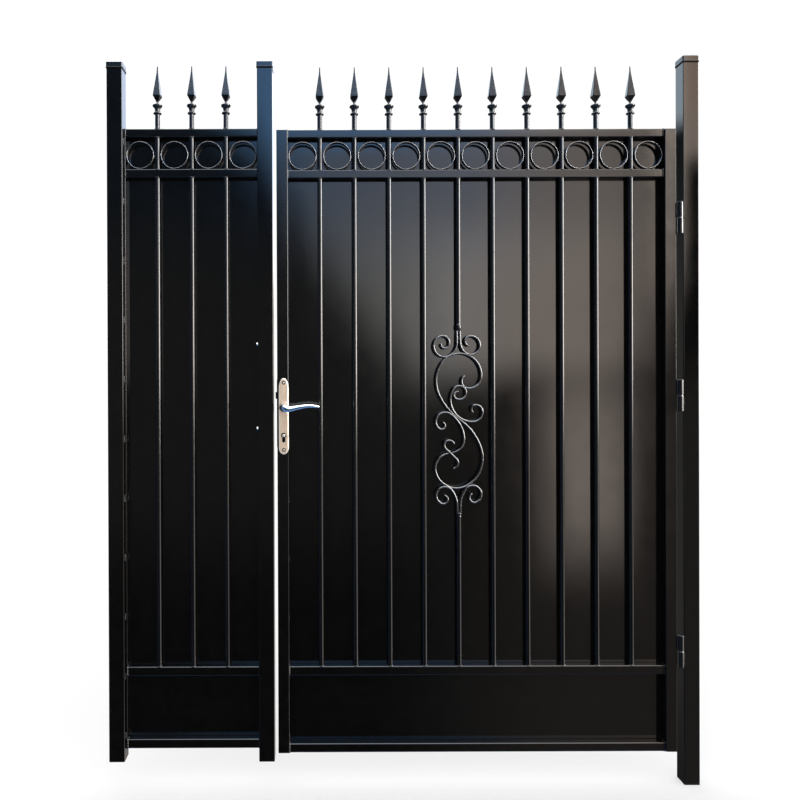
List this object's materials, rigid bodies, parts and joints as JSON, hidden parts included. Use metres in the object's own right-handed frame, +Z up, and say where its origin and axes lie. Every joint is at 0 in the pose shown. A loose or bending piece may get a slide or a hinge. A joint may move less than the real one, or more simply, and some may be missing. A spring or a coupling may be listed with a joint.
{
  "type": "metal side gate with side panel and posts",
  "caption": "Black steel side gate between square posts, with a fixed side panel, round bars, a row of rings, spear finials, a scroll, sheet backing and lever handles.",
  "frame": {"origin": "centre of the flat foot of the hinge post, the right-hand post seen from the front", "axes": "+Z up along the posts, +X right across the gate seen from the front, +Y away from the viewer through the gate"},
  "size_m": [1.9025, 0.148, 2.342],
  "materials": {
    "black_coat": "glossy black powder coat on steel",
    "cap": "glossy black powder coat on pressed steel",
    "satin_plate": "satin champagne anodised aluminium",
    "polished_lever": "polished chrome plate",
    "zinc": "bright zinc-plated steel",
    "brass_core": "satin nickel-plated brass"
  },
  "bodies": {
    "posts": {"left_post": "black_coat", "left_post_cap": "cap", "middle_post": "black_coat", "middle_post_cap": "cap", "hinge_post": "black_coat", "hinge_post_cap": "cap", "side_top_rail": "black_coat", "side_ring_rail": "black_coat", "side_middle_rail": "black_coat", "side_bottom_rail": "black_coat", "side_end_bar": "black_coat", "side_sheet": "black_coat", "side_bars": "black_coat", "side_rings": "black_coat", "side_finials": "black_coat", "lock_keeper": "zinc", "keeper_bolts": "zinc", "upper_hinge_pin": "black_coat", "middle_hinge_pin": "black_coat", "lower_hinge_pin": "black_coat"},
    "leaf": {"upper_hinge_sleeve": "black_coat", "middle_hinge_sleeve": "black_coat", "lower_hinge_sleeve": "black_coat", "latch_stile": "black_coat", "hinge_stile": "black_coat", "leaf_top_rail": "black_coat", "leaf_ring_rail": "black_coat", "leaf_middle_rail": "black_coat", "leaf_bottom_rail": "black_coat", "leaf_sheet": "black_coat", "leaf_bars": "black_coat", "leaf_rings": "black_coat", "leaf_finials": "black_coat", "scroll_bar": "black_coat", "scroll": "black_coat", "lock_forend": "zinc", "front_handle_plate": "satin_plate", "back_handle_plate": "satin_plate", "plate_screws": "zinc", "lock_cylinder": "brass_core"},
    "handle": {"front_lever": "polished_lever", "back_lever": "polished_lever", "spindle": "polished_lever"},
    "latch": {"latch_bolt": "zinc"}
  },
  "joints": [
    {"name": "leaf_hinge", "type": "hinge", "parent": "posts", "child": "leaf", "pos_m": [-0.035, -0.025, 1.105], "axis": [0, 0, 1], "range_deg": [0, 100]},
    {"name": "lever_turn", "type": "hinge", "parent": "leaf", "child": "handle", "pos_m": [-1.308, 0, 1.218], "axis": [0, 1, 0], "range_deg": [0, 40], "stiffness_Nm_per_rad": 2, "springref_deg": -20.05},
    {"name": "latch_slide", "type": "slide", "parent": "leaf", "child": "latch", "axis": [1, 0, 0], "range_m": [0, 0.0061]}
  ],
  "couplings": [
    {"joint": "latch_slide", "follows": "lever_turn", "m_per_rad": 0.0086}
  ]
}
